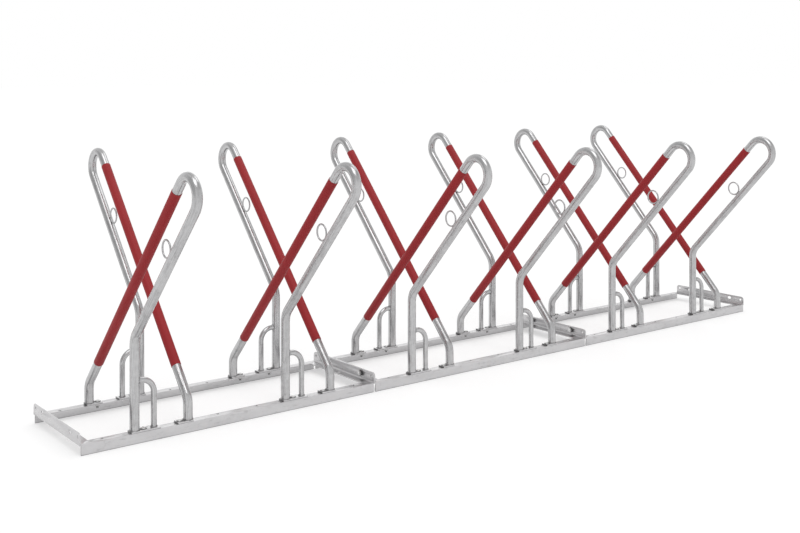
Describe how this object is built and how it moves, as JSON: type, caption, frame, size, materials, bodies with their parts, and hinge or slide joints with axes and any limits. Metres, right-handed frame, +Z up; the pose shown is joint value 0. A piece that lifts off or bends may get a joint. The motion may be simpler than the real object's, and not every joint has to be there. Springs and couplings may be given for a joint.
{
  "type": "bicycle lean rack",
  "caption": "Double-sided bicycle lean rack: bent steel hoops with sleeves, lock rings and wheel guides lean to both sides of a bolted angle-steel base frame.",
  "frame": {"origin": "on the ground, under the middle of the rack", "axes": "+X along the row, +Y from the near rail to the far rail, +Z up"},
  "size_m": [3, 1.1208, 0.7922],
  "materials": {
    "frame": "hot-dip galvanised, semi-gloss",
    "hoops": "hot-dip galvanised, semi-gloss",
    "fasteners": "zinc-plated",
    "sleeve": "satin red plastic"
  },
  "bodies": {
    "root": {"near_rail_1": "frame", "far_rail_1": "frame", "left_cross_angle_1": "frame", "right_cross_angle_1": "frame", "near_rail_2": "frame", "far_rail_2": "frame", "left_cross_angle_2": "frame", "right_cross_angle_2": "frame", "near_rail_3": "frame", "far_rail_3": "frame", "left_cross_angle_3": "frame", "right_cross_angle_3": "frame", "near_hoop_1": "hoops", "far_hoop_1": "hoops", "near_sleeve_1": "sleeve", "far_sleeve_1": "sleeve", "near_hoop_2": "hoops", "far_hoop_2": "hoops", "near_sleeve_2": "sleeve", "far_sleeve_2": "sleeve", "near_hoop_3": "hoops", "far_hoop_3": "hoops", "near_sleeve_3": "sleeve", "far_sleeve_3": "sleeve", "near_hoop_4": "hoops", "far_hoop_4": "hoops", "near_sleeve_4": "sleeve", "far_sleeve_4": "sleeve", "near_hoop_5": "hoops", "far_hoop_5": "hoops", "near_sleeve_5": "sleeve", "far_sleeve_5": "sleeve", "near_hoop_6": "hoops", "far_hoop_6": "hoops", "near_sleeve_6": "sleeve", "far_sleeve_6": "sleeve", "near_lock_rings": "hoops", "near_wheel_guides": "hoops", "near_leg_plates": "hoops", "near_short_leg_plates": "hoops", "near_foot_bolts": "fasteners", "near_foot_nuts": "fasteners", "far_lock_rings": "hoops", "far_wheel_guides": "hoops", "far_leg_plates": "hoops", "far_short_leg_plates": "hoops", "far_foot_bolts": "fasteners", "far_foot_nuts": "fasteners", "joining_bolts": "fasteners", "joining_nuts": "fasteners"}
  },
  "joints": []
}
